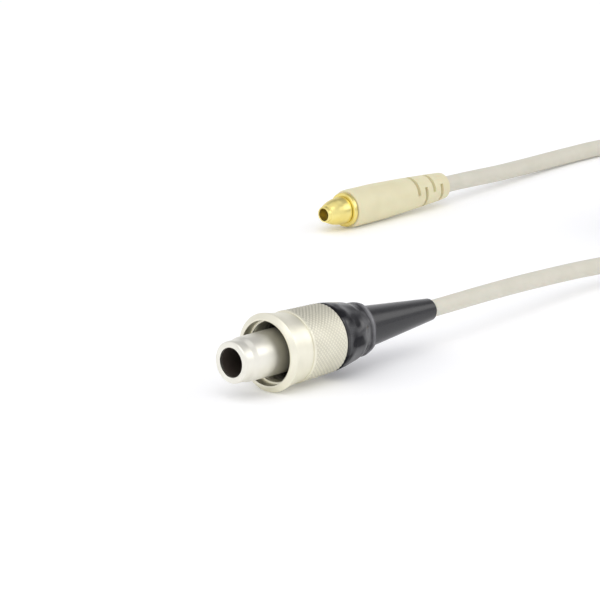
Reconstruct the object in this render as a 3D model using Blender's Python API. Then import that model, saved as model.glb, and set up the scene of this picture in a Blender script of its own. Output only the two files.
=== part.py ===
"""Detachable cable of a headset microphone: the body-pack plug, the cable and the gold ear-hook connector.

Frame: metres, +Z up. The plug's axis is parallel to X with its nose towards -X, and its nut rests on z = 0.
The origin is on that surface, under the middle of the plug's length.
Lengths named here are in millimetres; turned() and its neighbours multiply them by MM.
On each connector, x is measured along its own axis from its front face, and r from that axis.
"""

import math

import bmesh
import bpy
from mathutils import Vector

MM = 0.001
MERGE = 1e-7  # metres; joins the points that a turned outline has on its axis
STEPS = 40  # sides of a large turned piece
FINE_STEPS = 12  # sides of a pin

# The whole layout
PLUG_LENGTH = 33.3
NUT_FRONT_RADIUS = 4.65
PLUG_AXIS_Z = NUT_FRONT_RADIUS  # the nut's front edge touches the surface
PLUG_FRONT = Vector((-PLUG_LENGTH / 2, 0, PLUG_AXIS_Z))
EAR_LENGTH = 20.4
EAR_SLEEVE_RADIUS = 2.32
EAR_FRONT = Vector((47.8, 46.0, EAR_SLEEVE_RADIUS))
EAR_YAW = math.radians(-1.25)
CABLE_RADIUS = 1.0

# The plug's fits
BARREL_RADIUS = 2.65  # the shell behind its nose step
NOSE_BORE_RADIUS = 1.915
MOUTH_RADIUS = 1.75  # the lip that closes in on the nose's bore
MOUTH_DEPTH = 0.35
SHELL_REAR_BORE = 2.25
INSULATOR_SEAT = 12.4  # where the shell's bore widens
FLANGE_FRONT = 12.0
FLANGE_REAR = 12.8
SHELL_REAR = 18.5
NUT_FRONT = 5.75
NUT_REAR = 15.4
NUT_THREAD_RADIUS = 3.6  # minor radius of the nut's thread
GROOVE_FRONT = 13.62
GROOVE_REAR = 14.28
RING_FRONT = 13.7
RING_REAR = 14.2
COLLAR_FRONT = 15.5
COLLAR_REAR = 21.4
COLLET_BORE = 2.28  # the collar's bore round the collet and the boot's rim
BOOT_FRONT = 20.35
CABLE_HOLE = 1.06  # bore of each piece that the cable runs through
PIN_COUNT = 3
PIN_CIRCLE = 0.9
PIN_RADIUS = 0.25
PIN_HOLE = 0.28
SOLDER_HOLE_FRONT = 13.6
CABLE_END_X = 17.5  # where the jacket is cut back inside the plug

# The ear-hook connector's fits
STEM_RADIUS = 1.5
STEM_REAR = 7.6
FLANGE_RING_FRONT = 3.3
FLANGE_RING_REAR = 3.85
SLEEVE_FRONT = 3.95
SLEEVE_WIDE_BORE = 1.56
SLEEVE_WIDE_END = 11.4
BEAD_FRONT = 2.2
BEAD_BORE = 0.34
EAR_CABLE_END_X = 9.4
SLOT_STARTS = (14.35, 15.75, 17.15, 18.55)
SLOT_WIDTH = 0.5
TOP_SLOT_FLOOR = 0.0  # height over the axis that a slot cut from the top goes down to
BOTTOM_SLOT_CEILING = 0.9  # and that one cut from underneath comes up to

# The coil of spare cable
COIL_CENTRE = Vector((88.0, 9.0, 0.0))
COIL_INNER = 6.9
COIL_OUTER = 15.15
COIL_BOTTOM = 0.6
COIL_TOP = 8.85
TIE_THICKNESS = 0.5
TIE_GAP = 0.1
TIE_WIDTH = 3.0
TIE_ANGLES = (math.radians(135), math.radians(315))

# The cable's route where it isn't coiled, chosen by hand: plug to coil, then coil to sleeve
PLUG_SIDE_ROUTE = [
    (16.95, 0.0, 4.65),
    (19.0, 0.05, 4.65),
    (22.0, 0.3, 4.6),
    (25.5, 0.7, 4.5),
    (29.5, 1.3, 4.3),
    (34.0, 2.1, 4.0),
    (39.0, 3.0, 3.6),
    (44.0, 3.8, 3.2),
    (49.0, 4.4, 2.8),
    (54.0, 4.5, 2.45),
    (59.0, 3.9, 2.15),
    (64.0, 2.4, 1.9),
    (69.0, 0.1, 1.75),
    (74.0, -2.5, 1.65),
    (78.2, -4.6, 1.6),
    (81.4, -6.1, 1.6),
]
EAR_SIDE_ROUTE = [
    (103.2, 15.2, 7.2),
    (103.9, 19.0, 6.3),
    (104.9, 24.0, 4.4),
    (106.4, 29.0, 2.5),
    (108.0, 34.0, 1.4),
    (108.6, 38.8, 1.05),
    (107.4, 43.2, 1.0),
    (104.2, 46.5, 1.0),
    (99.5, 48.0, 1.0),
    (94.0, 48.1, 1.05),
    (89.6, 47.85, 1.15),
    (84.6, 47.3, 1.35),
    (79.4, 46.6, 1.65),
    (75.0, 46.0, 2.0),
    (71.5, 45.6, 2.25),
    (68.5, 45.55, 2.32),
]
ROUTE_STEPS = 3  # tube points to each stretch of a route

NICKEL = (0.80, 0.78, 0.72)
GOLD = (0.90, 0.70, 0.28)
BRASS = (0.75, 0.58, 0.27)
BLACK = (0.03, 0.03, 0.035)
PTFE = (0.90, 0.90, 0.87)
SLEEVE_BEIGE = (0.80, 0.74, 0.52)
CABLE_BEIGE = (0.73, 0.66, 0.58)
COPPER = (0.72, 0.42, 0.28)
WIRE_RED = (0.55, 0.08, 0.06)


def clear_scene():
    for obj in list(bpy.data.objects):
        bpy.data.objects.remove(obj, do_unlink=True)


def material(name, colour, roughness, metallic=0.0):
    mat = bpy.data.materials.new(name)
    mat.use_nodes = True
    shader = mat.node_tree.nodes["Principled BSDF"]
    shader.inputs["Base Color"].default_value = (*colour, 1.0)
    shader.inputs["Roughness"].default_value = roughness
    shader.inputs["Metallic"].default_value = metallic
    return mat


def empty(name, place, yaw=0.0):
    """An axis empty: its local X is the axis that the pieces parented to it are turned about."""
    obj = bpy.data.objects.new(name, None)
    obj.location = place * MM
    obj.rotation_euler.z = yaw
    bpy.context.scene.collection.objects.link(obj)
    return obj


def add(name, mesh, mat, parent=None):
    obj = bpy.data.objects.new(name, mesh)
    obj.data.materials.append(mat)
    obj.parent = parent
    bpy.context.scene.collection.objects.link(obj)
    return obj


def finished(bm, name):
    """A mesh from bm, with its faces turned outwards and its round sides smooth."""
    bmesh.ops.recalc_face_normals(bm, faces=bm.faces)
    mesh = bpy.data.meshes.new(name)
    bm.to_mesh(mesh)
    bm.free()
    mesh.shade_smooth()
    mesh.set_sharp_from_angle(angle=math.radians(35))
    return mesh


def turned(name, outline, mat, parent, steps=STEPS, sweep=360.0, start=0.0, offset=(0.0, 0.0)):
    """A piece turned about X. The outline is (x, r) points: a closed loop, or with both ends on the axis.

    sweep and start are in degrees round X from +Z towards -Y, and offset moves the turning axis in (y, z).
    """
    bm = bmesh.new()
    solid = outline[0][1] == 0
    turn = math.radians(start)
    points = [Vector((x, -r * math.sin(turn), r * math.cos(turn))) * MM for x, r in outline]
    verts = [bm.verts.new(p) for p in points]
    pairs = list(zip(verts, verts[1:] + verts[:1]))
    edges = [bm.edges.new(pair) for pair in (pairs[:-1] if solid else pairs)]
    bmesh.ops.spin(
        bm,
        geom=verts + edges,
        axis=(1, 0, 0),
        cent=(0, 0, 0),
        angle=math.radians(sweep),
        steps=steps,
        use_merge=sweep == 360.0,
    )
    bmesh.ops.remove_doubles(bm, verts=bm.verts, dist=MERGE)
    bmesh.ops.holes_fill(bm, edges=bm.edges, sides=0)
    bmesh.ops.translate(bm, vec=Vector((0, *offset)) * MM, verts=bm.verts)
    return add(name, finished(bm, name), mat, parent)


def smooth_route(points):
    """Points on a Catmull-Rom curve through the route's own points, ROUTE_STEPS to each stretch."""
    ends = [2 * points[0] - points[1], *points, 2 * points[-1] - points[-2]]
    line = []
    for a, b, c, d in zip(ends, ends[1:], ends[2:], ends[3:]):
        for k in range(ROUTE_STEPS):
            t = k / ROUTE_STEPS
            square = (2 * a - 5 * b + 4 * c - d) * t**2
            cube = (3 * b - a - 3 * c + d) * t**3
            line.append((2 * b + (c - a) * t + square + cube) / 2)
    return [*line, points[-1]]


def tube(name, points, radius, mat, parent=None):
    """A round wire or cable of that radius through the points."""
    curve = bpy.data.curves.new(name, "CURVE")
    curve.dimensions = "3D"
    curve.bevel_depth = radius * MM
    curve.bevel_resolution = 2
    curve.use_fill_caps = True
    spline = curve.splines.new("POLY")
    spline.points.add(len(points) - 1)
    for point, place in zip(spline.points, points):
        point.co = (*(place * MM), 1)
    return add(name, curve, mat, parent)


def cut(obj, cutter):
    """Takes the cutter's shape out of the object, and leaves the cutter out of the model."""
    modifier = obj.modifiers.new(cutter.name, "BOOLEAN")
    modifier.operation = "DIFFERENCE"
    modifier.object = cutter
    cutter.hide_render = True
    cutter.display_type = "WIRE"


def box_cutter(name, low, high, mat, parent):
    bm = bmesh.new()
    bmesh.ops.create_cube(bm, size=1)
    low, high = Vector(low), Vector(high)
    bmesh.ops.scale(bm, vec=(high - low) * MM, verts=bm.verts)
    bmesh.ops.translate(bm, vec=(high + low) / 2 * MM, verts=bm.verts)
    return add(name, finished(bm, name), mat, parent)


def pin_place(index):
    """(y, z) of a contact pin's axis in the plug."""
    angle = 2 * math.pi * index / PIN_COUNT
    return (PIN_CIRCLE * math.sin(angle), PIN_CIRCLE * math.cos(angle))


def make_shell(axis, nickel):
    turned(
        "plug_shell",
        [
            (0.0, 2.3),
            (0.18, 2.475),
            (1.65, 2.475),
            (1.8, BARREL_RADIUS),
            (FLANGE_FRONT, BARREL_RADIUS),
            (FLANGE_FRONT, 3.35),
            (FLANGE_REAR, 3.35),
            (FLANGE_REAR, BARREL_RADIUS),
            (SHELL_REAR, BARREL_RADIUS),
            (SHELL_REAR, SHELL_REAR_BORE),
            (INSULATOR_SEAT, SHELL_REAR_BORE),
            (INSULATOR_SEAT, NOSE_BORE_RADIUS),
            (MOUTH_DEPTH, NOSE_BORE_RADIUS),
            (MOUTH_DEPTH, MOUTH_RADIUS),
            (0.0, MOUTH_RADIUS),
        ],
        nickel,
        axis,
    )


def make_nut(axis, nickel):
    turned(
        "coupling_nut",
        [
            (NUT_FRONT, 3.83),
            (NUT_FRONT, 4.0),
            (6.25, NUT_FRONT_RADIUS),
            (8.0, 4.33),
            (9.55, 4.15),
            (9.65, 4.3),
            (15.2, 4.12),
            (NUT_REAR, 3.95),
            (NUT_REAR, 2.85),
            (GROOVE_REAR, 2.85),
            (GROOVE_REAR, 3.85),
            (GROOVE_FRONT, 3.85),
            (GROOVE_FRONT, NUT_THREAD_RADIUS),
            (7.05, NUT_THREAD_RADIUS),
            (6.85, 3.83),
        ],
        nickel,
        axis,
    )
    turned(
        "nut_retaining_ring",
        [(RING_FRONT, 2.75), (RING_FRONT, 3.77), (RING_REAR, 3.77), (RING_REAR, 2.75)],
        nickel,
        axis,
        sweep=330.0,
        start=15.0,
    )


def make_contacts(axis, black, gold):
    insulator = turned(
        "contact_insulator",
        [
            (5.0, 0.0),
            (5.0, 1.75),
            (0.4, 1.75),
            (0.4, 1.885),
            (INSULATOR_SEAT + 0.05, 1.885),
            (INSULATOR_SEAT + 0.05, 2.2),
            (13.0, 2.2),
            (13.0, 0.0),
        ],
        black,
        axis,
    )
    for index in range(PIN_COUNT):
        hole = turned(
            f"pin_hole_{index + 1}",
            [(4.5, 0.0), (4.5, PIN_HOLE), (13.5, PIN_HOLE), (13.5, 0.0)],
            black,
            axis,
            steps=FINE_STEPS,
            offset=pin_place(index),
        )
        cut(insulator, hole)
        turned(
            f"contact_pin_{index + 1}",
            [
                (3.4, 0.0),
                (3.45, 0.14),
                (3.6, PIN_RADIUS),
                (13.05, PIN_RADIUS),
                (13.05, 0.36),
                (14.6, 0.36),
                (14.6, PIN_HOLE),
                (SOLDER_HOLE_FRONT, PIN_HOLE),
                (SOLDER_HOLE_FRONT, 0.0),
            ],
            gold,
            axis,
            steps=FINE_STEPS,
            offset=pin_place(index),
        )


def make_clamp(axis, black, rubber, brass, nickel):
    for name, start in (("half_shell_left", 2.0), ("half_shell_right", 182.0)):
        turned(
            name,
            [(13.1, 1.75), (13.1, 2.2), (18.4, 2.2), (18.4, 1.75)],
            nickel,
            axis,
            steps=STEPS // 2,
            sweep=176.0,
            start=start,
        )
    turned(
        "cable_collet",
        [(18.6, CABLE_HOLE), (18.6, 1.9), (18.9, 2.2), (20.2, 2.2), (20.2, CABLE_HOLE)],
        brass,
        axis,
        sweep=340.0,
        start=10.0,
    )
    turned(
        "clamp_collar",
        [
            (COLLAR_FRONT, 3.9),
            (15.7, 4.05),
            (16.6, 3.93),
            (18.5, 3.6),
            (19.7, 3.37),
            (20.6, 3.1),
            (21.1, 2.98),
            (COLLAR_REAR, 2.85),
            (COLLAR_REAR, 1.9),
            (20.95, 1.9),
            (20.95, COLLET_BORE),
            (18.55, COLLET_BORE),
            (18.55, 2.7),
            (COLLAR_FRONT, 2.7),
        ],
        black,
        axis,
    )
    turned(
        "strain_relief_boot",
        [
            (BOOT_FRONT, CABLE_HOLE),
            (BOOT_FRONT, 2.2),
            (20.85, 2.2),
            (20.85, 1.82),
            (21.5, 1.82),
            (21.5, 2.53),
            (32.75, 1.36),
            (33.15, 1.28),
            (PLUG_LENGTH, 1.15),
            (PLUG_LENGTH, CABLE_HOLE),
        ],
        rubber,
        axis,
    )


def make_plug_wires(axis, jacket, red, copper):
    tube(
        "cable_end_in_plug",
        [Vector((CABLE_END_X, 0, 0)), Vector((25, 0, 0)), Vector((PLUG_LENGTH - 0.05, 0, 0))],
        CABLE_RADIUS,
        jacket,
        axis,
    )
    for name, index, end_z, mat in (("core_wire", 0, 0.35, red), ("shield_wire", 1, -0.35, copper)):
        y, z = pin_place(index)
        route = [
            Vector((SOLDER_HOLE_FRONT + 0.1, y, z)),
            Vector((14.9, y, z)),
            Vector((15.6, 0.85 * y, 0.85 * z + 0.15 * end_z)),
            Vector((16.5, 0.3 * y, 0.3 * z + 0.7 * end_z)),
            Vector((CABLE_END_X - 0.1, 0, end_z)),
        ]
        tube(name, route, 0.2, mat, axis)


def make_ear_contacts(axis, gold, ptfe, brass):
    turned(
        "mating_shell",
        [
            (0.0, 0.93),
            (0.48, 0.97),
            (0.55, 1.12),
            (0.95, 1.3),
            (1.4, 1.46),
            (2.1, 1.6),
            (FLANGE_RING_FRONT - 0.05, 1.7),
            (FLANGE_RING_FRONT - 0.05, STEM_RADIUS),
            (STEM_REAR, STEM_RADIUS),
            (STEM_REAR, 1.1),
            (BEAD_FRONT - 0.05, 1.1),
            (BEAD_FRONT - 0.05, 0.76),
            (0.0, 0.76),
        ],
        gold,
        axis,
    )
    turned(
        "flange_ring",
        [
            (FLANGE_RING_FRONT, 1.55),
            (FLANGE_RING_FRONT, 1.98),
            (3.42, 2.08),
            (FLANGE_RING_REAR, 2.08),
            (FLANGE_RING_REAR, 1.55),
        ],
        gold,
        axis,
    )
    turned(
        "dielectric_bead",
        [(BEAD_FRONT, BEAD_BORE), (BEAD_FRONT, 1.07), (7.0, 1.07), (7.0, BEAD_BORE)],
        ptfe,
        axis,
    )
    turned(
        "centre_contact",
        [(1.1, 0.0), (1.15, 0.18), (1.35, 0.3), (7.9, 0.3), (7.9, 0.22), (7.3, 0.22), (7.3, 0.0)],
        gold,
        axis,
        steps=FINE_STEPS,
    )
    turned(
        "crimp_ferrule",
        [(7.75, CABLE_HOLE + 0.08), (7.75, STEM_RADIUS), (11.2, STEM_RADIUS), (11.2, CABLE_HOLE + 0.08)],
        brass,
        axis,
    )


def make_sleeve(axis, beige, jacket, red):
    sleeve = turned(
        "moulded_sleeve",
        [
            (SLEEVE_FRONT, 2.15),
            (4.15, EAR_SLEEVE_RADIUS),
            (8.8, 2.27),
            (13.1, 2.08),
            (18.7, 1.74),
            (19.8, 1.6),
            (EAR_LENGTH, 1.35),
            (EAR_LENGTH, CABLE_HOLE),
            (SLEEVE_WIDE_END, CABLE_HOLE),
            (SLEEVE_WIDE_END, SLEEVE_WIDE_BORE),
            (SLEEVE_FRONT, SLEEVE_WIDE_BORE),
        ],
        beige,
        axis,
    )
    for index, x in enumerate(SLOT_STARTS):
        low, high = (TOP_SLOT_FLOOR, 3) if index % 2 == 0 else (-3, BOTTOM_SLOT_CEILING)
        slot = box_cutter(f"sleeve_slot_{index + 1}", (x, -3, low), (x + SLOT_WIDTH, 3, high), beige, axis)
        cut(sleeve, slot)
    tube(
        "cable_end_in_sleeve",
        [Vector((EAR_CABLE_END_X, 0, 0)), Vector((15, 0, 0)), Vector((EAR_LENGTH - 0.05, 0, 0))],
        CABLE_RADIUS,
        jacket,
        axis,
    )
    tube(
        "core_wire_mic_side",
        [Vector((7.4, 0, 0)), Vector((8.4, 0, 0)), Vector((EAR_CABLE_END_X - 0.1, 0, 0))],
        0.18,
        red,
        axis,
    )


def make_cable(jacket, black):
    tube("cable_plug_side", smooth_route([Vector(p) for p in PLUG_SIDE_ROUTE]), CABLE_RADIUS, jacket)
    tube("cable_mic_side", smooth_route([Vector(p) for p in EAR_SIDE_ROUTE]), CABLE_RADIUS, jacket)
    # The coil and its ties are turned or placed about an empty whose local X points up.
    centre = empty("coil_axis", COIL_CENTRE)
    centre.rotation_euler.y = math.radians(-90)
    corner = 0.8
    turned(
        "cable_coil",
        [
            (COIL_BOTTOM, COIL_INNER + corner),
            (COIL_BOTTOM, COIL_OUTER - corner),
            (COIL_BOTTOM + corner, COIL_OUTER),
            (COIL_TOP - corner, COIL_OUTER),
            (COIL_TOP, COIL_OUTER - corner),
            (COIL_TOP, COIL_INNER + corner),
            (COIL_TOP - corner, COIL_INNER),
            (COIL_BOTTOM + corner, COIL_INNER),
        ],
        jacket,
        centre,
    )
    for index, angle in enumerate(TIE_ANGLES):
        make_tie(f"coil_tie_{index + 1}", angle, black)


def make_tie(name, angle, mat):
    """A strap round the coil's bundle, in the plane through the coil's axis at that angle."""
    near = TIE_GAP
    far = TIE_GAP + TIE_THICKNESS
    corner = 0.8
    # The flat strap clears the curved inner wall of the coil at both of its edges.
    facet_radius = COIL_INNER * math.cos(math.pi / STEPS)
    inner_wall = math.sqrt(facet_radius**2 - (TIE_WIDTH / 2) ** 2)
    loops = []
    for grow, cut_corner in ((far, corner), (near, corner - 0.2)):
        low_r, high_r = inner_wall - grow, COIL_OUTER + grow
        low_z, high_z = COIL_BOTTOM - grow, COIL_TOP + grow
        loops.append(
            [
                (low_r + cut_corner, low_z),
                (high_r - cut_corner, low_z),
                (high_r, low_z + cut_corner),
                (high_r, high_z - cut_corner),
                (high_r - cut_corner, high_z),
                (low_r + cut_corner, high_z),
                (low_r, high_z - cut_corner),
                (low_r, low_z + cut_corner),
            ]
        )
    bm = bmesh.new()
    rings = [[bm.verts.new(Vector((r, -TIE_WIDTH / 2, z)) * MM) for r, z in loop] for loop in loops]
    outer, inner = rings
    for k in range(len(outer)):
        following = (k + 1) % len(outer)
        bm.faces.new((outer[k], outer[following], inner[following], inner[k]))
    side = bmesh.ops.extrude_face_region(bm, geom=bm.faces[:])
    moved = [item for item in side["geom"] if isinstance(item, bmesh.types.BMVert)]
    bmesh.ops.translate(bm, vec=(0, TIE_WIDTH * MM, 0), verts=moved)
    tie = add(name, finished(bm, name), mat)
    tie.location = COIL_CENTRE * MM
    tie.rotation_euler.z = angle


def main():
    clear_scene()
    nickel = material("nickel", NICKEL, 0.22, 1.0)
    gold = material("gold", GOLD, 0.2, 1.0)
    brass = material("brass", BRASS, 0.35, 1.0)
    copper = material("copper", COPPER, 0.35, 1.0)
    black = material("black_anodised", BLACK, 0.4)
    rubber = material("black_rubber", BLACK, 0.6)
    ptfe = material("ptfe", PTFE, 0.5)
    beige = material("sleeve_beige", SLEEVE_BEIGE, 0.5)
    jacket = material("cable_jacket", CABLE_BEIGE, 0.5)
    red = material("core_insulation", WIRE_RED, 0.5)

    plug_axis = empty("plug_axis", PLUG_FRONT)
    make_shell(plug_axis, nickel)
    make_nut(plug_axis, nickel)
    make_contacts(plug_axis, black, gold)
    make_clamp(plug_axis, black, rubber, brass, nickel)
    make_plug_wires(plug_axis, jacket, red, copper)

    ear_axis = empty("ear_connector_axis", EAR_FRONT, EAR_YAW)
    make_ear_contacts(ear_axis, gold, ptfe, brass)
    make_sleeve(ear_axis, beige, jacket, red)

    make_cable(jacket, black)


main()
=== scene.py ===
"""Looks of the headset microphone's cable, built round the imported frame: metres, +Z up, the plug along X.

Lengths named here are in millimetres, and MM turns them into metres. Each connector's pieces are modelled in
a frame of its own, whose origin is the middle of its front face and whose X runs back along its axis.
"""

import math

import bmesh
import bpy
from mathutils import Matrix, Vector

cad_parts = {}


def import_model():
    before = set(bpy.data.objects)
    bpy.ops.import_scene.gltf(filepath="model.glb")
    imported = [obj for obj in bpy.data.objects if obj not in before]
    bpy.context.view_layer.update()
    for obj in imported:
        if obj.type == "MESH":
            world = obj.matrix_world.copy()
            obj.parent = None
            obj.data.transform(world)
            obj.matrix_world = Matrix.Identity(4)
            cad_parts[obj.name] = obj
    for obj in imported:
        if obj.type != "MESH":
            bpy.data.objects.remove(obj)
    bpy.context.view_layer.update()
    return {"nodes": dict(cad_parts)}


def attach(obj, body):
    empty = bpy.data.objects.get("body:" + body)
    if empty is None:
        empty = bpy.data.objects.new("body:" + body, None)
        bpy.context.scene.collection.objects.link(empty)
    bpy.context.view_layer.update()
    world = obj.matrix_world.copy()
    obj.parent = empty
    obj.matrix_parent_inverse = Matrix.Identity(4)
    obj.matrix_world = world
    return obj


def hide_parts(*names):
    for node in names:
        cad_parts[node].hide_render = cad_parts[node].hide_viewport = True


MM = 0.001

# The camera: a long lens far away, because the picture has almost no perspective
LOOK_AZIMUTH = math.radians(43.3)
LOOK_DOWN = math.radians(14.5)
LOOK_AT = Vector((22.66, 26.19, 0.0))
CAMERA_DISTANCE = 1500.0
LENS = 765.0

# The frame's driving sizes, as the CAD has them
PLUG_LENGTH = 33.3
NUT_FRONT_RADIUS = 4.65
PLUG_FRONT = Vector((-PLUG_LENGTH / 2, 0.0, NUT_FRONT_RADIUS))
EAR_SLEEVE_RADIUS = 2.32
EAR_FRONT = Vector((47.8, 46.0, EAR_SLEEVE_RADIUS))
EAR_YAW = math.radians(-1.25)
CABLE_RADIUS = 1.0
COIL_CENTRE = Vector((88.0, 9.0, 0.0))
COIL_INNER = 6.9
COIL_OUTER = 15.15
COIL_BOTTOM = 0.6
COIL_TOP = 8.85
TIE_ANGLES = (math.radians(135), math.radians(315))

ROOT_BODY = "plug_body"
NUT_BODY = "nut"


# ---------------------------------------------------------------- materials


def put(mat, kind, inputs=None, **settings):
    """A new node of that kind. Each input is a plain value, or an output socket to link from."""
    made = mat.node_tree.nodes.new("ShaderNode" + kind)
    for name, value in settings.items():
        setattr(made, name, value)
    for name, value in (inputs or {}).items():
        if isinstance(value, bpy.types.NodeSocket):
            mat.node_tree.links.new(value, made.inputs[name])
        else:
            made.inputs[name].default_value = value
    return made


def principled(name, **sockets):
    """A material with one Principled shader. A socket's name is written with underscores."""
    mat = bpy.data.materials.new(name)
    mat.use_nodes = True
    shader = mat.node_tree.nodes["Principled BSDF"]
    for socket, value in sockets.items():
        shader.inputs[socket.replace("_", " ").title().replace("Ior", "IOR")].default_value = value
    return mat


def drive(mat, socket, output):
    mat.node_tree.links.new(output, mat.node_tree.nodes["Principled BSDF"].inputs[socket])


def place_mm(mat, stretch=(1.0, 1.0, 1.0)):
    """The point on the piece in millimetres of its own frame, times stretch."""
    where = put(mat, "TexCoord")
    scale = [value / MM for value in stretch]
    return put(mat, "Mapping", {"Vector": where.outputs["Object"], "Scale": scale}).outputs["Vector"]


def noise(mat, vector, scale, detail=3.0, rough=0.5):
    values = {"Vector": vector, "Scale": scale, "Detail": detail, "Roughness": rough}
    return put(mat, "TexNoise", values).outputs["Fac"]


def between(mat, value, low, high, start=0.3, end=0.7):
    """value from start to end, turned into low to high."""
    values = {"Value": value, "From Min": start, "From Max": end, "To Min": low, "To Max": high}
    return put(mat, "MapRange", values).outputs["Result"]


def tinted(mat, value, low, high, start=0.3, end=0.7):
    """A colour from low to high as value goes from start to end."""
    share = between(mat, value, 0.0, 1.0, start, end)
    mixer = put(mat, "Mix", {"Factor": share}, data_type="RGBA")
    mixer.inputs[6].default_value = (*low, 1.0)
    mixer.inputs[7].default_value = (*high, 1.0)
    return mixer.outputs[2]


def bumped(mat, height, depth, under=None):
    """A normal from that height, whose full range is depth in millimetres, on top of another normal."""
    values = {"Height": height, "Distance": depth * MM, "Strength": 1.0}
    if under is not None:
        values["Normal"] = under
    return put(mat, "Bump", values).outputs["Normal"]


def turned_metal(name, dull, bright, roughness, painted_shade_colour=(0.08, 0.065, 0.045), rings=0.0012):
    """Plated metal with fine turning rings round X and faint stains.

    Where the mesh marks painted light, in grooves and deep inside, the plating takes the dark painted shade
    colour.
    """
    mat = principled(name, metallic=1.0)
    stains = noise(mat, place_mm(mat), 0.45, 2.0)
    ring = noise(mat, place_mm(mat, (14.0, 0.15, 0.15)), 1.0, 2.0)
    painted_light = put(mat, "Attribute", attribute_name="painted_light").outputs["Fac"]
    plated = tinted(mat, stains, dull, bright)
    # painted shade: where painted_light is set, the plating is mixed towards the dark brown painted shade
    # colour
    shade = put(mat, "Mix", {"Factor": painted_light}, data_type="RGBA")
    mat.node_tree.links.new(plated, shade.inputs[6])
    shade.inputs[7].default_value = (*painted_shade_colour, 1.0)
    drive(mat, "Base Color", shade.outputs[2])
    stain_part = between(mat, stains, roughness + 0.04, roughness - 0.03)
    spread = put(mat, "Math", {0: stain_part, 1: between(mat, ring, 0.02, -0.02)})
    spread = put(mat, "Math", {0: painted_light, 1: 0.5, 2: spread.outputs[0]}, operation="MULTIPLY_ADD")
    drive(mat, "Roughness", spread.outputs[0])
    drive(mat, "Normal", bumped(mat, ring, rings))
    return mat


def black_satin(name):
    """The collar's black finish: it waves a little, and has a grey painted highlight, in patches, where the
    mesh marks painted light.
    """
    mat = principled(name, specular_ior_level=0.5)
    waves = noise(mat, place_mm(mat, (0.7, 1.0, 1.0)), 0.62, 0.0)
    grain = noise(mat, place_mm(mat), 22.0, 3.0)
    black = tinted(mat, grain, (0.007, 0.007, 0.009), (0.010, 0.010, 0.013))
    patches = noise(mat, place_mm(mat), 0.8, 2.0)
    # painted highlight: the rim's crest is painted light grey, more in some patches than others
    crest_highlight = put(mat, "Attribute", attribute_name="painted_light").outputs["Fac"]
    crest_highlight = put(mat, "Math", {0: crest_highlight, 1: between(mat, patches, 0.25, 1.0)}, operation="MULTIPLY")
    highlight_mix = put(mat, "Mix", {"Factor": crest_highlight.outputs[0]}, data_type="RGBA")
    mat.node_tree.links.new(black, highlight_mix.inputs[6])
    highlight_mix.inputs[7].default_value = (0.24, 0.24, 0.25, 1.0)
    drive(mat, "Base Color", highlight_mix.outputs[2])
    blotches = noise(mat, place_mm(mat), 0.45, 1.0)
    drive(mat, "Specular IOR Level", between(mat, blotches, 0.07, 0.85, 0.4, 0.6))
    drive(mat, "Roughness", between(mat, grain, 0.21, 0.25))
    drive(mat, "Normal", bumped(mat, waves, 0.35, bumped(mat, grain, 0.0004)))
    return mat


def black_rubber(name):
    """The boot's smooth rubber, with a fine grain and faint clouds."""
    mat = principled(name, specular_ior_level=0.5)
    grain = noise(mat, place_mm(mat), 11.0, 4.0, 0.6)
    bloom = noise(mat, place_mm(mat), 0.6, 3.0)
    drive(mat, "Base Color", tinted(mat, bloom, (0.005, 0.005, 0.0065), (0.009, 0.009, 0.011)))
    drive(mat, "Roughness", between(mat, bloom, 0.17, 0.24))
    drive(mat, "Normal", bumped(mat, grain, 0.003))
    return mat


def plastic(name, dull, bright, roughness, grain_size=0.12, depth=0.003, **sockets):
    """Moulded plastic: a fine even grain and faint clouds of colour."""
    mat = principled(name, **sockets)
    clouds = noise(mat, place_mm(mat), 0.5, 3.0)
    grain = noise(mat, place_mm(mat), 1 / grain_size, 2.0)
    drive(mat, "Base Color", tinted(mat, clouds, dull, bright))
    drive(mat, "Roughness", between(mat, grain, roughness - 0.04, roughness + 0.04))
    drive(mat, "Normal", bumped(mat, grain, depth))
    return mat


def woven(name, colour):
    """Hook-and-loop tape: a field of small loops, with light fibres among them."""
    mat = principled(name, roughness=0.9, sheen_weight=0.6, sheen_roughness=0.5)
    loops = put(mat, "TexVoronoi", {"Vector": place_mm(mat), "Scale": 5.5}).outputs["Distance"]
    fibres = noise(mat, place_mm(mat, (3.0, 3.0, 12.0)), 2.0, 4.0, 0.7)
    drive(mat, "Base Color", tinted(mat, fibres, colour, tuple(2.6 * value for value in colour)))
    drive(mat, "Normal", bumped(mat, loops, 0.08, bumped(mat, fibres, 0.03)))
    return mat


def stranded(name, dull, bright):
    """Bare wire: strands that wind round it."""
    mat = principled(name, metallic=1.0, roughness=0.3)
    winding = {"Vector": place_mm(mat, (1.0, 2.0, 2.0)), "Scale": 3.0}
    strands = put(mat, "TexWave", winding, bands_direction="DIAGONAL").outputs["Fac"]
    drive(mat, "Base Color", tinted(mat, strands, dull, bright, 0.1, 0.9))
    drive(mat, "Normal", bumped(mat, strands, 0.02))
    return mat


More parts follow.
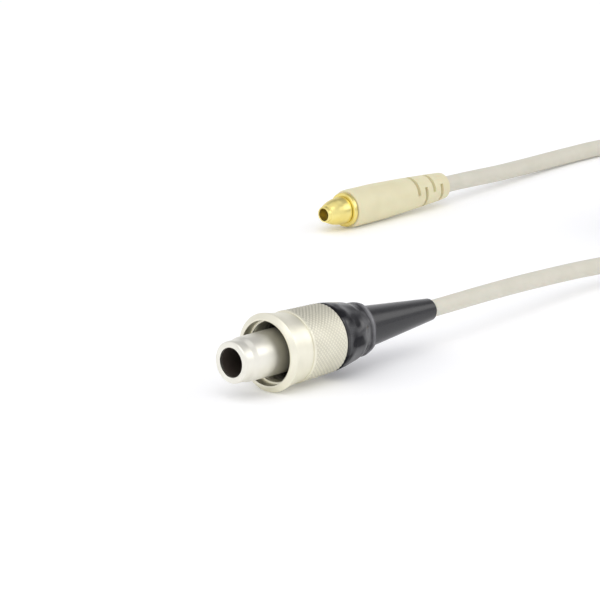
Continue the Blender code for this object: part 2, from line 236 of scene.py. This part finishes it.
def make_materials():
    """Each of the record's material slots, as its finished material."""
    return {
        "nickel": turned_metal("nickel", (0.82, 0.80, 0.715), (0.875, 0.86, 0.775), 0.40),
        "gold": turned_metal(
            "gold",
            (0.78, 0.64, 0.195),
            (0.93, 0.81, 0.315),
            0.32,
            painted_shade_colour=(0.35, 0.22, 0.05),
            rings=0.0005,
        ),
        "brass": turned_metal("brass", (0.62, 0.44, 0.18), (0.80, 0.62, 0.30), 0.3),
        "black_anodised": black_satin("black_anodised"),
        "insulator_black": plastic(
            "insulator_black", (0.052, 0.040, 0.033), (0.060, 0.047, 0.040), 0.5, specular_ior_level=0.4
        ),
        "boot_rubber": black_rubber("boot_rubber"),
        "ptfe": plastic("ptfe", (0.82, 0.81, 0.77), (0.92, 0.91, 0.88), 0.45, subsurface_weight=0.2),
        "sleeve_beige": plastic(
            "sleeve_beige",
            (0.70, 0.65, 0.43),
            (0.74, 0.69, 0.465),
            0.5,
            subsurface_weight=0.15,
            subsurface_scale=0.0012,
        ),
        "cable_jacket": plastic(
            "cable_jacket",
            (0.605, 0.585, 0.49),
            (0.645, 0.62, 0.53),
            0.5,
            subsurface_weight=0.08,
            subsurface_scale=0.001,
        ),
        "core_insulation": plastic("core_insulation", (0.42, 0.03, 0.02), (0.60, 0.06, 0.04), 0.4),
        "copper": stranded("copper", (0.50, 0.24, 0.14), (0.86, 0.55, 0.38)),
        "tie_fabric": woven("tie_fabric", (0.012, 0.012, 0.014)),
    }


# ---------------------------------------------------------------- mesh work


def eased(share):
    """0 to 1, starting and ending gently."""
    return share * share * (3 - 2 * share)


def rounded(corners, steps=4):
    """The outline through (x, r, fillet) corners, each fillet turned into an arc."""
    points = []
    for k, (x, r, fillet) in enumerate(corners):
        here = Vector((x, r))
        if not fillet:
            points.append(here)
            continue
        back = Vector(corners[k - 1][:2]) - here
        on = Vector(corners[(k + 1) % len(corners)][:2]) - here
        half = back.angle(on) / 2
        reach = min(fillet / math.tan(half), 0.49 * back.length, 0.49 * on.length)
        radius = reach * math.tan(half)
        back.normalize()
        on.normalize()
        centre = here + (back + on).normalized() * radius / math.sin(half)
        first, last = here + back * reach - centre, here + on * reach - centre
        turn = math.pi - 2 * half
        for step in range(steps + 1):
            share = step / steps
            weights = math.sin((1 - share) * turn), math.sin(share * turn)
            points.append(centre + (first * weights[0] + last * weights[1]) / math.sin(turn))
    return points


def clamped(value):
    return max(0.0, min(1.0, value))


def round_nose(front, radius, steps=6):
    """(x, r) points of a ball end, from the axis at front to the full radius."""
    turns = [math.pi / 2 * k / steps for k in range(steps + 1)]
    return [(front + radius * (1 - math.cos(turn)), radius * math.sin(turn)) for turn in turns]


def lathe(name, outline, segments=96, shape=None):
    """A mesh turned about X from (x, r) points: a closed loop, or open with both ends on the axis.

    shape(x, r, angle) gives a point's radius and its painted light, from 0 to 1, which the mesh keeps for its
    material: painted shade on the metal, a painted highlight on the collar. The angle goes round X from +Z
    towards -Y.
    """
    closed = outline[0][1] > 0
    verts, painted_light_values, faces = [], [], []
    for column in range(segments):
        angle = math.radians(360.0 * column / segments)
        for x, r in outline:
            painted_light = 0.0
            if shape:
                r, painted_light = shape(x, r, angle)
            verts.append((x * MM, -r * math.sin(angle) * MM, r * math.cos(angle) * MM))
            painted_light_values.append(painted_light)
    rows = len(outline)
    for column in range(segments):
        here, there = column * rows, (column + 1) % segments * rows
        for row in range(rows if closed else rows - 1):
            following = (row + 1) % rows
            faces.append((here + row, here + following, there + following, there + row))
    mesh = bpy.data.meshes.new(name)
    mesh.from_pydata(verts, [], faces)
    attribute = mesh.attributes.new("painted_light", "FLOAT", "POINT")
    attribute.data.foreach_set("value", painted_light_values)
    return mesh


def piece(name, mesh, mat, body, stands_for, frame_matrix, sharp=35.0):
    """Finishes the mesh as a piece that rides on its body: welded, and smooth between its sharp edges.

    stands_for lists the CAD nodes that it replaces, and sharp is in degrees.
    """
    bm = bmesh.new()
    bm.from_mesh(mesh)
    bmesh.ops.remove_doubles(bm, verts=bm.verts, dist=1e-7)
    bmesh.ops.dissolve_degenerate(bm, edges=bm.edges, dist=1e-8)
    bmesh.ops.recalc_face_normals(bm, faces=bm.faces)
    bm.to_mesh(mesh)
    bm.free()
    mesh.shade_smooth()
    mesh.set_sharp_from_angle(angle=math.radians(sharp))
    obj = bpy.data.objects.new(name, mesh)
    obj.data.materials.append(mat)
    bpy.context.scene.collection.objects.link(obj)
    obj.matrix_world = frame_matrix
    weighted = obj.modifiers.new("weighted normals", "WEIGHTED_NORMAL")
    weighted.keep_sharp = True
    declare(obj, body, stands_for)


def declare(obj, body, stands_for):
    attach(obj, body)
    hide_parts(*stands_for)


# ---------------------------------------------------------------- camera, light and floor


def make_camera():
    look = Vector(
        (
            math.cos(LOOK_AZIMUTH) * math.cos(LOOK_DOWN),
            math.sin(LOOK_AZIMUTH) * math.cos(LOOK_DOWN),
            -math.sin(LOOK_DOWN),
        )
    )
    data = bpy.data.cameras.new("camera")
    data.lens = LENS
    data.sensor_width = 36.0
    data.clip_end = 20.0
    camera = bpy.data.objects.new("camera", data)
    camera.location = (LOOK_AT - look * CAMERA_DISTANCE) * MM
    camera.rotation_mode = "QUATERNION"
    camera.rotation_quaternion = look.to_track_quat("-Z", "Y")
    bpy.context.scene.collection.objects.link(camera)
    bpy.context.scene.camera = camera


FLOOR_HALF = 2.5  # metres


def make_floor():
    corners = [(x * FLOOR_HALF, y * FLOOR_HALF, 0) for x, y in ((-1, -1), (1, -1), (1, 1), (-1, 1))]
    mesh = bpy.data.meshes.new("floor")
    mesh.from_pydata(corners, [], [(0, 1, 2, 3)])
    floor = bpy.data.objects.new("floor", mesh)
    mat = principled("floor", roughness=0.7, emission_strength=0.08)
    cloud = noise(mat, place_mm(mat), 0.01, 2.0)
    drive(mat, "Base Color", tinted(mat, cloud, (0.95, 0.955, 0.965), (0.965, 0.965, 0.97)))
    floor.data.materials.append(mat)
    bpy.context.scene.collection.objects.link(floor)


SKY_LEVEL = 0.93
BAND_LEVEL = 0.3  # of the dim band that shows as the dark streak along the black boot
BAND_STOPS = ((0.50, 1.0), (0.60, 0.0), (0.74, 0.0), (0.88, 1.0))  # (height, light) across the band
BAND_SIDE = 0.4  # how far towards +X the band is at its full strength


def make_sky():
    """A pale studio with a dim band half way up its +X side. The camera itself sees no band in it."""
    world = bpy.data.worlds.new("studio")
    bpy.context.scene.world = world
    world.use_nodes = True
    nodes, links = world.node_tree.nodes, world.node_tree.links
    background = nodes["Background"]
    where = nodes.new("ShaderNodeTexCoord")
    parts = nodes.new("ShaderNodeSeparateXYZ")
    links.new(where.outputs["Generated"], parts.inputs["Vector"])
    band = nodes.new("ShaderNodeValToRGB")  # black across the band's height, white above and below it
    links.new(parts.outputs["Z"], band.inputs["Fac"])
    while len(band.color_ramp.elements) < len(BAND_STOPS):
        band.color_ramp.elements.new(0.5)
    for element, (position, level) in zip(band.color_ramp.elements, BAND_STOPS):
        element.position = position
        element.color = (level, level, level, 1.0)
    side = nodes.new("ShaderNodeMapRange")  # 1 on the -X side, which has no band
    side.inputs["From Min"].default_value = BAND_SIDE
    side.inputs["From Max"].default_value = 0.0
    links.new(parts.outputs["X"], side.inputs["Value"])
    lit = nodes.new("ShaderNodeMath")
    lit.operation = "MAXIMUM"
    links.new(band.outputs["Color"], lit.inputs[0])
    links.new(side.outputs["Result"], lit.inputs[1])
    rays = nodes.new("ShaderNodeLightPath")
    seen = nodes.new("ShaderNodeMath")
    seen.operation = "MAXIMUM"
    links.new(lit.outputs["Value"], seen.inputs[0])
    links.new(rays.outputs["Is Camera Ray"], seen.inputs[1])
    mixer = nodes.new("ShaderNodeMix")
    mixer.data_type = "RGBA"
    mixer.inputs[6].default_value = (BAND_LEVEL, BAND_LEVEL, 1.05 * BAND_LEVEL, 1.0)
    mixer.inputs[7].default_value = (SKY_LEVEL, SKY_LEVEL, 1.03 * SKY_LEVEL, 1.0)
    links.new(seen.outputs["Value"], mixer.inputs["Factor"])
    links.new(mixer.outputs[2], background.inputs["Color"])


def area_light(name, place, size, watts, colour, aim=(0.02, 0.02, 0.0)):
    data = bpy.data.lights.new(name, "AREA")
    data.shape = "RECTANGLE"
    data.size, data.size_y = size
    data.energy = watts
    data.color = colour
    light = bpy.data.objects.new(name, data)
    light.location = place
    light.rotation_euler = (Vector(aim) - Vector(place)).to_track_quat("-Z", "Y").to_euler()
    bpy.context.scene.collection.objects.link(light)


def make_lights():
    """A broad key light above the camera, and a smaller one that lights the plug from its right."""
    bpy.context.scene.view_settings.view_transform = "Standard"
    make_sky()
    area_light("key_softbox", (-0.50, -0.42, 0.95), (0.9, 0.9), 3.0, (1.0, 0.99, 0.96))
    area_light("side_light", (0.56, -0.39, 0.41), (0.6, 0.42), 0.8, (1.0, 0.99, 0.97))


# ---------------------------------------------------------------- the cable

# The route where the cable isn't coiled, as part.py has it
PLUG_SIDE_ROUTE = [
    (16.95, 0.0, 4.65),
    (19.0, 0.05, 4.65),
    (22.0, 0.3, 4.6),
    (25.5, 0.7, 4.5),
    (29.5, 1.3, 4.3),
    (34.0, 2.1, 4.0),
    (39.0, 3.0, 3.6),
    (44.0, 3.8, 3.2),
    (49.0, 4.4, 2.8),
    (54.0, 4.5, 2.45),
    (59.0, 3.9, 2.15),
    (64.0, 2.4, 1.9),
    (69.0, 0.1, 1.75),
    (74.0, -2.5, 1.65),
    (78.2, -4.6, 1.6),
    (81.4, -6.1, 1.6),
]
EAR_SIDE_ROUTE = [
    (103.2, 15.2, 7.2),
    (103.9, 19.0, 6.3),
    (104.9, 24.0, 4.4),
    (106.4, 29.0, 2.5),
    (108.0, 34.0, 1.4),
    (108.6, 38.8, 1.05),
    (107.4, 43.2, 1.0),
    (104.2, 46.5, 1.0),
    (99.5, 48.0, 1.0),
    (94.0, 48.1, 1.05),
    (89.6, 47.85, 1.15),
    (84.6, 47.3, 1.35),
    (79.4, 46.6, 1.65),
    (75.0, 46.0, 2.0),
    (71.5, 45.6, 2.25),
    (68.5, 45.55, 2.32),
]
TURN_PITCH = 2.05  # between neighbouring turns, and between layers
LAYERS = 4
TURNS_IN_LAYER = 4
TURN_STEP = 15.0  # degrees between the coil's points
MOVE = 30.0  # degrees that a step to the next turn or layer takes
COIL_ENTRY = -113.6  # degrees round the coil's centre, where the plug's side comes in
COIL_EXIT = -10.0  # and where the microphone's side leaves
ENTRY_RADIUS, ENTRY_HEIGHT = 16.48, 1.6  # of the cable's middle, where it comes in
FIRST_TURN = -55.0  # degrees, where it has reached the bottom layer's outer turn
FIRST_SECTOR = 245.0  # degrees, where the first layer's turns step inwards
COIL_PLAY = 0.05  # between the turns and the outside of the coil's solid


def coil_turns():
    """The coil's points: wound inwards, up a layer, outwards, up, and so on, counter-clockwise from above.

    In a layer each turn steps to the next slot in one sector, and the climb to the next layer comes just
    before that sector, so that no two turns ever want the same place.
    """
    outer = COIL_OUTER - CABLE_RADIUS - COIL_PLAY
    angle, radius, height = COIL_ENTRY, ENTRY_RADIUS, ENTRY_HEIGHT
    points = []

    def go(to_angle, to_radius=None, to_height=None):
        nonlocal angle, radius, height
        steps = max(1, round((to_angle - angle) / TURN_STEP))
        aim = (to_radius or radius, to_height or height)
        for step in range(1, steps + 1):
            share = step / steps
            here = math.radians(angle + (to_angle - angle) * share)
            now = radius + (aim[0] - radius) * eased(share)
            level = height + (aim[1] - height) * eased(share)
            points.append(COIL_CENTRE + Vector((now * math.cos(here), now * math.sin(here), level)))
        angle, (radius, height) = to_angle, aim

    bottom = COIL_BOTTOM + CABLE_RADIUS + COIL_PLAY
    go(FIRST_TURN, outer, bottom)
    sector = FIRST_SECTOR
    for layer in range(LAYERS):
        way = -1 if layer % 2 == 0 else 1
        for _ in range(TURNS_IN_LAYER - 1):
            while sector < angle:
                sector += 360.0
            go(sector)
            go(sector + MOVE, radius + way * TURN_PITCH)
        if layer == LAYERS - 1:
            break
        climb = sector - MOVE + 360.0
        go(climb)
        go(climb + MOVE, radius, height + TURN_PITCH)
        sector = climb - MOVE + 360.0
    end = COIL_EXIT
    while end < angle:
        end += 360.0
    go(end)
    return points


def smooth_line(points, steps):
    """Points on a Catmull-Rom curve through the given ones, that many to each stretch."""
    ends = [2 * points[0] - points[1], *points, 2 * points[-1] - points[-2]]
    line = []
    for a, b, c, d in zip(ends, ends[1:], ends[2:], ends[3:]):
        for k in range(steps):
            t = k / steps
            square = (2 * a - 5 * b + 4 * c - d) * t**2
            cube = (3 * b - a - 3 * c + d) * t**3
            line.append((2 * b + (c - a) * t + square + cube) / 2)
    return [*line, points[-1]]


def make_cable(materials):
    plug_side, ear_side = ([Vector(point) for point in route] for route in (PLUG_SIDE_ROUTE, EAR_SIDE_ROUTE))
    line = smooth_line([*plug_side, *coil_turns(), *ear_side], 4)
    curve = bpy.data.curves.new("cable", "CURVE")
    curve.dimensions = "3D"
    curve.bevel_depth = CABLE_RADIUS * MM
    curve.bevel_resolution = 6
    curve.use_fill_caps = True
    spline = curve.splines.new("POLY")
    spline.points.add(len(line) - 1)
    for point, place in zip(spline.points, line):
        point.co = (*(place * MM), 1)
    cable = bpy.data.objects.new("cable", curve)
    curve.materials.append(materials["cable_jacket"])
    bpy.context.scene.collection.objects.link(cable)
    declare(cable, ROOT_BODY, ("cable_plug_side", "cable_coil", "cable_mic_side"))
    return cable


# ---------------------------------------------------------------- the plug


def plug_matrix():
    return Matrix.Translation(PLUG_FRONT * MM)


SHADE_START = 5.0  # behind the nose's tip, where the shell goes into the shade of the nut and its painted shade starts
SHADE_LENGTH = 3.6


def shell_shape(x, r, angle):
    """Keeps the nose's shape, and paints shade on its plating inside the nut, darker further in."""
    return r, eased(clamped((x - SHADE_START) / SHADE_LENGTH))


def make_shell(materials):
    outline = rounded(
        [
            (0.0, 1.75, 0.06),
            (0.0, 2.475, 0.2),
            (1.35, 2.475, 0.6),
            (2.05, 2.65, 0.6),
            *[(x, 2.65, 0) for x in (5.0, 5.6, 6.2, 6.8, 7.4, 8.0, 8.6)],
            (12.0, 2.65, 0.05),
            (12.0, 3.35, 0.08),
            (12.8, 3.35, 0.08),
            (12.8, 2.65, 0.05),
            (18.5, 2.65, 0.1),
            (18.5, 2.25, 0),
            (12.4, 2.25, 0),
            (12.4, 1.915, 0),
            (0.35, 1.915, 0),
            (0.35, 1.75, 0.03),
        ]
    )
    mesh = lathe("plug_shell_turned", outline, segments=128, shape=shell_shape)
    piece("shell", mesh, materials["nickel"], ROOT_BODY, ["plug_shell"], plug_matrix())


KNURL_START = 9.78
KNURL_END = 15.12
KNURL_COUNT = 48  # diamonds round the nut
KNURL_ROWS = 10
KNURL_DEPTH = 0.09
KNURL_FRONT, KNURL_FRONT_RADIUS = 9.65, 4.3  # where the grip's taper is measured from
KNURL_TAPER = 0.18 / 5.55
GRIP_INSIDE = 4.0  # the grip is outside this radius
BORE_OUTSIDE = 3.9  # and the bore inside this one
THREAD_START = 7.0
THREAD_END = 11.6
THREAD_PITCH = 0.6
THREAD_DEPTH = 0.22
THREAD_RADIUS = 3.6  # minor radius
THREAD_OUTSIDE = 3.7  # points inside this radius are the thread's
DEEP_START = 7.6  # where the painted shade in the bore starts to deepen
DEEP_LENGTH = 3.4
STEPS_TO_A_CREST = 6  # mesh rows across a diamond, and along a thread's pitch


def saw(value):
    """0 in a groove and 1 on a crest, once for each whole step of value."""
    return 1 - abs(2 * (value % 1.0) - 1)


def nut_shape(x, r, angle):
    """Cuts the diamond knurl into the grip and the thread into the bore, and paints shade into the knurl's
    grooves and deeper into the bore.
    """
    if r > GRIP_INSIDE and KNURL_START < x < KNURL_END + 0.01:
        round_steps = KNURL_COUNT * angle / (2 * math.pi)
        along = KNURL_ROWS * (x - KNURL_START) / (KNURL_END - KNURL_START)
        crest = min(saw(round_steps + along), saw(round_steps - along))
        crest = min(1.0, 1.35 * crest)
        # painted shade: the knurl's grooves are marked darker than its crests
        return r - KNURL_DEPTH * (1 - crest), 0.25 * (1 - crest)
    if r > BORE_OUTSIDE:
        return r, 0.0
    # painted shade that deepens into the bore, with a little everywhere inside it
    bore_shade = eased(clamped((x - DEEP_START) / DEEP_LENGTH))
    if r < THREAD_OUTSIDE and THREAD_START < x < THREAD_END:
        run_in = min(1.0, (x - THREAD_START) / THREAD_PITCH, (THREAD_END - x) / THREAD_PITCH)
        wave = saw((x - THREAD_START) / THREAD_PITCH - angle / (2 * math.pi))
        r += THREAD_DEPTH * (1 - run_in * min(1.0, 1.3 * wave))
    return r, 0.04 + 0.96 * bore_shade


def make_nut():
    """The coupling nut, whose plating is a little warmer than the shell's."""
    knurl_rows = KNURL_ROWS * STEPS_TO_A_CREST
    places = [KNURL_START + (KNURL_END - KNURL_START) * k / knurl_rows for k in range(knurl_rows + 1)]
    knurl = [Vector((x, KNURL_FRONT_RADIUS - (x - KNURL_FRONT) * KNURL_TAPER)) for x in places]
    length = THREAD_END - THREAD_START
    thread_rows = round(length / THREAD_PITCH * STEPS_TO_A_CREST)
    thread = [Vector((THREAD_END - length * k / thread_rows, THREAD_RADIUS)) for k in range(thread_rows + 1)]
    front = rounded(
        [
            (6.95, 3.82, 0.03),
            (5.75, 3.82, 0.05),
            (5.75, 4.02, 0.07),
            (6.22, 4.65, 0.1),
            (7.2, 4.45, 0.6),
            (8.2, 4.29, 0.8),
            (9.55, 4.14, 0.03),
            (9.64, 4.27, 0.03),
        ]
    )
    rear = rounded(
        [
            (15.2, 4.05, 0.02),
            (15.4, 3.88, 0.06),
            (15.4, 2.85, 0.05),
            (14.28, 2.85, 0),
            (14.28, 3.85, 0),
            (13.62, 3.85, 0),
            (13.62, THREAD_RADIUS, 0),
        ]
    )
    outline = [*front, *knurl, *rear, *thread]
    segments = KNURL_COUNT * STEPS_TO_A_CREST
    mesh = lathe("coupling_nut_turned", outline, segments=segments, shape=nut_shape)
    warm = turned_metal("nut_nickel", (0.82, 0.795, 0.665), (0.88, 0.855, 0.72), 0.40)
    piece("knurled_nut", mesh, warm, NUT_BODY, ["coupling_nut"], plug_matrix())


PIN_COUNT = 3
PIN_CIRCLE = 0.9
PIN_RADIUS = 0.25


def make_insert(materials):
    """The black insert in the nose."""
    outline = rounded(
        [
            (5.0, 0.0, 0),
            (5.0, 1.75, 0.15),
            (0.4, 1.75, 0.05),
            (0.4, 1.885, 0.04),
            (12.45, 1.885, 0),
            (12.45, 2.2, 0),
            (13.0, 2.2, 0.05),
            (13.0, 0.0, 0),
        ]
    )
    mesh = lathe("insert_turned", outline)
    black = materials["insulator_black"]
    piece("nose_insert", mesh, black, ROOT_BODY, ["contact_insulator"], plug_matrix())


def make_pins(materials):
    """The gold pins that the insert holds, with a hollow end for the solder."""
    outline = round_nose(3.4, PIN_RADIUS)
    outline += [(13.05, PIN_RADIUS), (13.05, 0.36), (14.6, 0.36), (14.6, 0.28), (13.6, 0.28), (13.6, 0.0)]
    for index in range(PIN_COUNT):
        turn = 2 * math.pi * index / PIN_COUNT
        offset = Vector((0, PIN_CIRCLE * math.sin(turn), PIN_CIRCLE * math.cos(turn))) * MM
        mesh = lathe(f"pin_{index + 1}_turned", outline, segments=32)
        matrix = plug_matrix() @ Matrix.Translation(offset)
        node = f"contact_pin_{index + 1}"
        piece(f"gold_pin_{index + 1}", mesh, materials["gold"], ROOT_BODY, [node], matrix)


RIM_START = 20.0  # the collar's rolled rear rim is behind this
RIM_INSIDE = 2.9  # and outside this radius
RIM_CREST = 20.75
RIM_HALF = 0.35


def collar_shape(x, r, angle):
    """Lets the rolled rear rim swell and sink a little round its edge, and marks its crest for a grey painted
    highlight.
    """
    if r < RIM_INSIDE or x < RIM_START:
        return r, 0.0
    crest = max(0.0, 1 - abs(x - RIM_CREST) / RIM_HALF)
    return r + 0.05 * math.sin(3 * angle + 0.6) + 0.03 * math.sin(7 * angle), crest


def make_collar(materials):
    outline = rounded(
        [
            (15.5, 3.88, 0.1),
            (15.75, 4.05, 0.2),
            (17.0, 3.88, 0.6),
            (19.0, 3.5, 0.6),
            (19.8, 3.22, 0.5),
            (20.35, 3.07, 0.3),
            (20.75, 3.22, 0.25),
            (21.25, 3.06, 0.2),
            (21.4, 2.8, 0.08),
            (21.4, 1.9, 0.05),
            (20.95, 1.9, 0),
            (20.95, 2.28, 0),
            (18.55, 2.28, 0),
            (18.55, 2.7, 0),
            (15.5, 2.7, 0.05),
        ]
    )
    mesh = lathe("collar_turned", outline, segments=128, shape=collar_shape)
    black = materials["black_anodised"]
    piece("collar", mesh, black, ROOT_BODY, ["clamp_collar"], plug_matrix())


def make_boot(materials):
    outline = rounded(
        [
            (20.35, 1.06, 0),
            (20.35, 2.2, 0.05),
            (20.85, 2.2, 0.05),
            (20.85, 1.82, 0),
            (21.5, 1.82, 0),
            (21.5, 2.53, 0.08),
            (27.0, 1.96, 2.0),
            (33.3, 1.3, 0.32),
            (33.3, 1.06, 0.03),
        ],
        steps=6,
    )
    mesh = lathe("boot_turned", outline)
    rubber = materials["boot_rubber"]
    piece("boot", mesh, rubber, ROOT_BODY, ["strain_relief_boot"], plug_matrix())


# ---------------------------------------------------------------- the ear-hook connector


def ear_matrix():
    return Matrix.Translation(EAR_FRONT * MM) @ Matrix.Rotation(EAR_YAW, 4, "Z")


def make_tip(materials):
    """The gold dome with its narrow open front, the ring behind it, and the inner contact."""
    dome = rounded(
        [
            (0.0, 0.76, 0.05),
            (0.0, 0.93, 0.06),
            (0.48, 0.97, 0.05),
            (0.55, 1.12, 0.1),
            (0.95, 1.3, 0.5),
            (1.4, 1.46, 1.2),
            (2.1, 1.6, 1.5),
            (3.25, 1.7, 0.05),
            (3.25, 1.5, 0),
            (7.6, 1.5, 0.05),
            (7.6, 1.1, 0),
            (2.15, 1.1, 0),
            (2.15, 0.76, 0),
        ],
        steps=6,
    )
    mesh = lathe("tip_turned", dome)
    gold = materials["gold"]
    piece("gold_tip", mesh, gold, ROOT_BODY, ["mating_shell"], ear_matrix())
    ring = rounded([(3.3, 1.55, 0), (3.3, 2.05, 0.1), (3.85, 2.08, 0.1), (3.85, 1.55, 0)])
    mesh = lathe("flange_turned", ring)
    piece("gold_flange", mesh, gold, ROOT_BODY, ["flange_ring"], ear_matrix())
    contact = [*round_nose(1.1, 0.3), (7.9, 0.3), (7.9, 0.22), (7.3, 0.22), (7.3, 0.0)]
    mesh = lathe("centre_contact_turned", contact, segments=32)
    piece("gold_centre_pin", mesh, gold, ROOT_BODY, ["centre_contact"], ear_matrix())


SLOT_STARTS = (14.35, 15.75, 17.15, 18.55)
SLOT_WIDTH = 0.5
SLOT_EDGE = 0.09  # how far a slot's side leans and rounds
TOP_SLOT_END = math.radians(90)  # where a slot over the top ends, from the top
BOTTOM_SLOT_END = math.radians(118)  # where a slot underneath ends, from the bottom
SLOT_FLOOR = 1.13  # radius of its floor
SLOT_RUN_OUT = math.radians(4)  # over which its end rises
SLEEVE_BORE_OUTSIDE = 1.2  # points inside this radius are the bore's
SLEEVE_OUTSIDE = ((4.15, EAR_SLEEVE_RADIUS), (8.8, 2.27), (13.1, 2.08), (18.7, 1.74), (19.8, 1.62))


def sleeve_shape(x, r, angle):
    """Sinks the four slots, two over the top and two from underneath, which reach past the sides."""
    if r < SLEEVE_BORE_OUTSIDE:
        return r, 0.0
    turn = abs((angle + math.pi) % (2 * math.pi) - math.pi)  # from the top, 0 to half a turn
    for index, start in enumerate(SLOT_STARTS):
        inside = min(x - start, start + SLOT_WIDTH - x) / SLOT_EDGE
        if inside <= 0:
            continue
        left = TOP_SLOT_END - turn if index % 2 == 0 else BOTTOM_SLOT_END - (math.pi - turn)
        depth = eased(clamped(inside)) * eased(clamped(left / SLOT_RUN_OUT))
        return r - (r - SLOT_FLOOR) * depth, depth
    return r, 0.0


def sleeve_radius(x):
    """The sleeve's outside there, straight between its points."""
    for (x0, r0), (x1, r1) in zip(SLEEVE_OUTSIDE, SLEEVE_OUTSIDE[1:]):
        if x <= x1:
            return r0 + (r1 - r0) * (x - x0) / (x1 - x0)
    return SLEEVE_OUTSIDE[-1][1]


def make_sleeve(materials):
    sides = [0, SLOT_EDGE / 3, 2 * SLOT_EDGE / 3, SLOT_EDGE]
    sides += [SLOT_WIDTH - side for side in sides]
    places = [start + side for start in SLOT_STARTS for side in sides]
    places = sorted([*places, 5.5, 7.0, 8.8, 10.2, 11.7, 13.1, 15.3, 16.7, 18.1])
    front = rounded([(3.95, 1.56, 0), (3.95, 2.3, 0.22), (5.0, 2.31, 0)])
    rear = rounded(
        [(19.3, 1.68, 0), (20.4, 1.6, 0.35), (20.4, 1.06, 0.03), (11.4, 1.06, 0), (11.4, 1.56, 0)]
    )
    outline = [*front, *[Vector((x, sleeve_radius(x))) for x in places], *rear]
    mesh = lathe("sleeve_turned", outline, segments=144, shape=sleeve_shape)
    beige = materials["sleeve_beige"]
    piece("sleeve", mesh, beige, ROOT_BODY, ["moulded_sleeve"], ear_matrix(), sharp=50.0)


# ---------------------------------------------------------------- the ties

TIE_WIDTH = 3.0
TIE_THICKNESS = 0.5
TIE_GAP = 0.1
TIE_CORNER = 1.1
TIE_EDGE = 0.14  # rounding of the strap's own edges
TIE_CORNER_STEPS = 6
TIE_TAIL = 5.0  # how much of the strap lies double
TIE_EASE = 0.15  # how much further in than the coil's solid the strap goes
LAP_STEP = 1.6  # height over which it climbs onto its own start


def make_ties(materials):
    for index, angle in enumerate(TIE_ANGLES):
        make_tie(f"tie_{index + 1}", f"coil_tie_{index + 1}", angle, materials["tie_fabric"])


def make_tie(name, node, angle, mat):
    """A strap that goes once round the bundle and laps over itself on the outside."""
    middle = TIE_GAP + TIE_THICKNESS / 2
    low_r, high_r = COIL_INNER - middle - TIE_EASE, COIL_OUTER + middle
    low_z, high_z = COIL_BOTTOM - middle, COIL_TOP + middle
    path = rounded(
        [
            (high_r, low_z, TIE_CORNER),
            (high_r, high_z, TIE_CORNER),
            (low_r, high_z, TIE_CORNER),
            (low_r, low_z, TIE_CORNER),
        ],
        steps=TIE_CORNER_STEPS,
    )
    lap = TIE_THICKNESS + 0.02
    start = (low_z + high_z) / 2 - TIE_TAIL / 2
    first = [Vector((high_r, start)), Vector((high_r, start + 1.0))]
    first_corner = TIE_CORNER_STEPS + 1  # points in it, which come last on the way round
    corners = path[first_corner:] + path[:first_corner]
    climb = [(eased(k / 4), k / 4) for k in range(5)]
    tail = [Vector((high_r + lap * out, start - LAP_STEP + LAP_STEP * up)) for out, up in climb]
    tail += [Vector((high_r + lap, start + value)) for value in (1.5, 3.0, TIE_TAIL)]
    line = [*first, *corners, *tail]
    half_width, half_thickness = TIE_WIDTH / 2, TIE_THICKNESS / 2
    section = rounded(
        [
            (-half_width, -half_thickness, TIE_EDGE),
            (half_width, -half_thickness, TIE_EDGE),
            (half_width, half_thickness, TIE_EDGE),
            (-half_width, half_thickness, TIE_EDGE),
        ],
        steps=3,
    )
    verts, faces = [], []
    for k, point in enumerate(line):
        ahead = (line[min(k + 1, len(line) - 1)] - line[max(k - 1, 0)]).normalized()
        side = Vector((ahead.y, -ahead.x))
        for across, out in section:
            r, z = point + side * out
            verts.append((r * MM, across * MM, z * MM))
    size = len(section)
    for k in range(len(line) - 1):
        here, there = k * size, (k + 1) * size
        for s in range(size):
            following = (s + 1) % size
            faces.append((here + s, here + following, there + following, there + s))
    faces += [range(size), range((len(line) - 1) * size, len(line) * size)]
    mesh = bpy.data.meshes.new(name)
    mesh.from_pydata(verts, [], faces)
    matrix = Matrix.Translation(COIL_CENTRE * MM) @ Matrix.Rotation(angle, 4, "Z")
    piece(name, mesh, mat, ROOT_BODY, [node], matrix, sharp=50.0)


# ---------------------------------------------------------------- the CAD pieces that stay

KEPT_NODES = {
    "nut_retaining_ring": "nickel",
    "half_shell_left": "nickel",
    "half_shell_right": "nickel",
    "cable_collet": "brass",
    "core_wire": "core_insulation",
    "shield_wire": "copper",
    "cable_end_in_plug": "cable_jacket",
    "dielectric_bead": "ptfe",
    "crimp_ferrule": "brass",
    "core_wire_mic_side": "core_insulation",
    "cable_end_in_sleeve": "cable_jacket",
}


def finish_kept_nodes(frame, materials):
    for name, slot in KEPT_NODES.items():
        for material_slot in frame["nodes"][name].material_slots:
            material_slot.material = materials[slot]


def main():
    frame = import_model()
    make_camera()
    materials = make_materials()
    cable = make_cable(materials)
    make_shell(materials)
    make_nut()
    make_insert(materials)
    make_pins(materials)
    make_collar(materials)
    make_boot(materials)
    make_tip(materials)
    make_sleeve(materials)
    make_ties(materials)
    finish_kept_nodes(frame, materials)
    make_floor()
    make_lights()


main()
